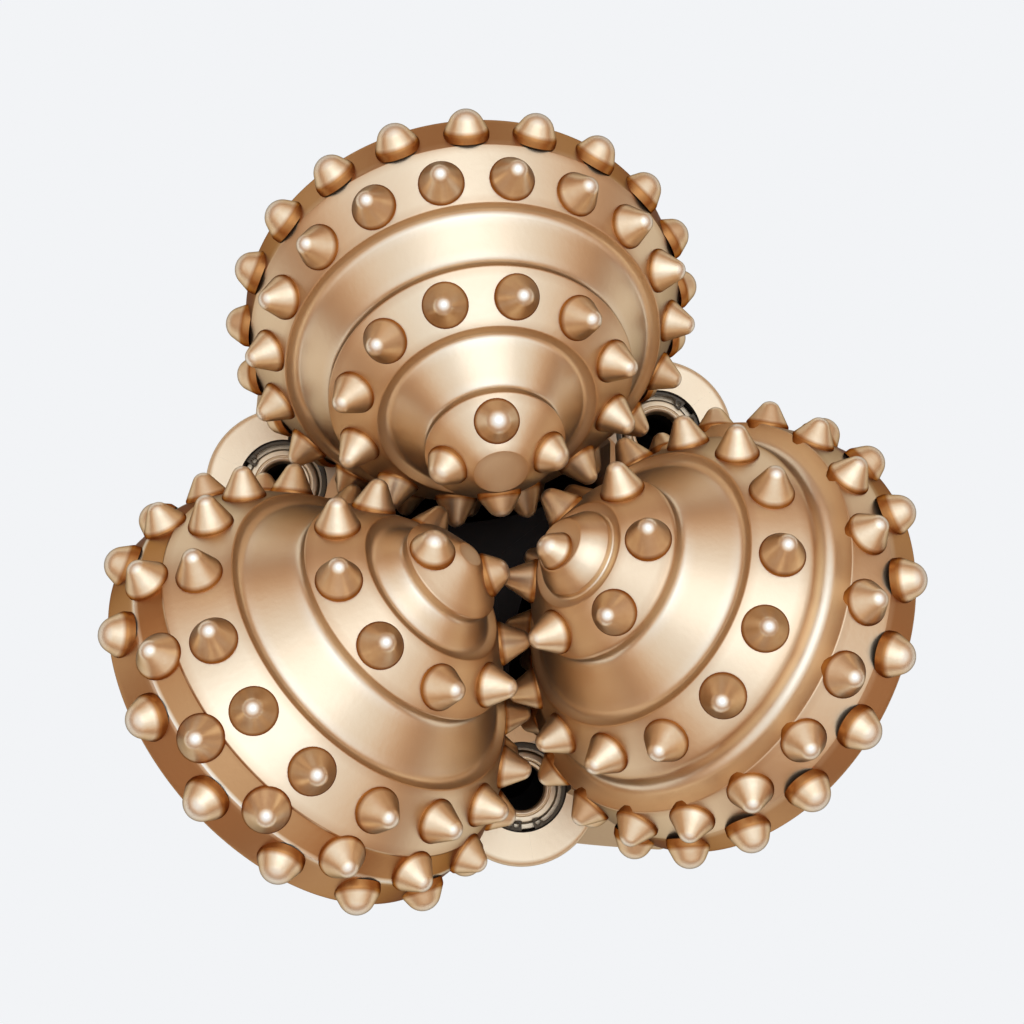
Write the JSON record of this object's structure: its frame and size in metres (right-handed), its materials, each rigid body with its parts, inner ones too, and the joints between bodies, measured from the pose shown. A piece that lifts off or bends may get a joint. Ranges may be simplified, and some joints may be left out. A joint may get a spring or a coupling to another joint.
{
  "type": "tricone drill bit",
  "caption": "Tricone rock bit with carbide insert cones turning on three legs, jet nozzles between the legs and a tapered threaded pin.",
  "frame": {"origin": "centre of the make-up shoulder at the pin's root, on the bit axis", "axes": "+Z along the bit axis from the pin towards the cones; +Y points through the leg of cone_1"},
  "size_m": [0.2175, 0.2065, 0.3295],
  "materials": {
    "gold_paint": "satin",
    "cone_gold_paint": "satin",
    "bearing_steel": "ground",
    "bearing_bronze": "turned",
    "nozzle_carbide": "ground",
    "seal_rubber": "matt"
  },
  "bodies": {
    "bit_body": {"ball_plug_1": "bearing_steel", "ball_plug_2": "bearing_steel", "ball_plug_3": "bearing_steel", "leg_1": "gold_paint", "leg_2": "gold_paint", "leg_3": "gold_paint", "nozzle_1": "nozzle_carbide", "nozzle_2": "nozzle_carbide", "nozzle_3": "nozzle_carbide", "nozzle_retaining_ring_1": "bearing_steel", "nozzle_retaining_ring_2": "bearing_steel", "nozzle_retaining_ring_3": "bearing_steel", "nozzle_seal_1": "seal_rubber", "nozzle_seal_2": "seal_rubber", "nozzle_seal_3": "seal_rubber", "reservoir_cap_1": "bearing_steel", "reservoir_cap_2": "bearing_steel", "reservoir_cap_3": "bearing_steel", "reservoir_diaphragm_1": "seal_rubber", "reservoir_diaphragm_2": "seal_rubber", "reservoir_diaphragm_3": "seal_rubber", "reservoir_snap_ring_1": "bearing_steel", "reservoir_snap_ring_2": "bearing_steel", "reservoir_snap_ring_3": "bearing_steel"},
    "cone_1": {"cone_1": "cone_gold_paint", "journal_bushing_1": "bearing_bronze", "journal_seal_1": "seal_rubber", "thrust_button_1": "bearing_steel"},
    "ball_set_1": {"race_ball_1_1": "bearing_steel", "race_ball_1_2": "bearing_steel", "race_ball_1_3": "bearing_steel", "race_ball_1_4": "bearing_steel", "race_ball_1_5": "bearing_steel", "race_ball_1_6": "bearing_steel", "race_ball_1_7": "bearing_steel", "race_ball_1_8": "bearing_steel"},
    "cone_2": {"cone_2": "cone_gold_paint", "journal_bushing_2": "bearing_bronze", "journal_seal_2": "seal_rubber", "thrust_button_2": "bearing_steel"},
    "ball_set_2": {"race_ball_2_1": "bearing_steel", "race_ball_2_2": "bearing_steel", "race_ball_2_3": "bearing_steel", "race_ball_2_4": "bearing_steel", "race_ball_2_5": "bearing_steel", "race_ball_2_6": "bearing_steel", "race_ball_2_7": "bearing_steel", "race_ball_2_8": "bearing_steel"},
    "cone_3": {"cone_3": "cone_gold_paint", "journal_bushing_3": "bearing_bronze", "journal_seal_3": "seal_rubber", "thrust_button_3": "bearing_steel"},
    "ball_set_3": {"race_ball_3_1": "bearing_steel", "race_ball_3_2": "bearing_steel", "race_ball_3_3": "bearing_steel", "race_ball_3_4": "bearing_steel", "race_ball_3_5": "bearing_steel", "race_ball_3_6": "bearing_steel", "race_ball_3_7": "bearing_steel", "race_ball_3_8": "bearing_steel"}
  },
  "joints": [
    {"name": "cone_1_spin", "type": "hinge", "parent": "bit_body", "child": "cone_1", "pos_m": [0, 0, 0.206], "axis": [0, 0.809, -0.5878], "continuous": true},
    {"name": "ball_set_1_roll", "type": "hinge", "parent": "bit_body", "child": "ball_set_1", "pos_m": [0, 0, 0.206], "axis": [0, 0.809, -0.5878], "continuous": true},
    {"name": "cone_2_spin", "type": "hinge", "parent": "bit_body", "child": "cone_2", "pos_m": [0, 0, 0.206], "axis": [-0.7006, -0.4045, -0.5878], "continuous": true},
    {"name": "ball_set_2_roll", "type": "hinge", "parent": "bit_body", "child": "ball_set_2", "pos_m": [0, 0, 0.206], "axis": [-0.7006, -0.4045, -0.5878], "continuous": true},
    {"name": "cone_3_spin", "type": "hinge", "parent": "bit_body", "child": "cone_3", "pos_m": [0, 0, 0.206], "axis": [0.7006, -0.4045, -0.5878], "continuous": true},
    {"name": "ball_set_3_roll", "type": "hinge", "parent": "bit_body", "child": "ball_set_3", "pos_m": [0, 0, 0.206], "axis": [0.7006, -0.4045, -0.5878], "continuous": true}
  ],
  "couplings": [
    {"joint": "ball_set_1_roll", "follows": "cone_1_spin", "ratio": 0.6736},
    {"joint": "ball_set_2_roll", "follows": "cone_2_spin", "ratio": 0.6736},
    {"joint": "ball_set_3_roll", "follows": "cone_3_spin", "ratio": 0.6736}
  ]
}
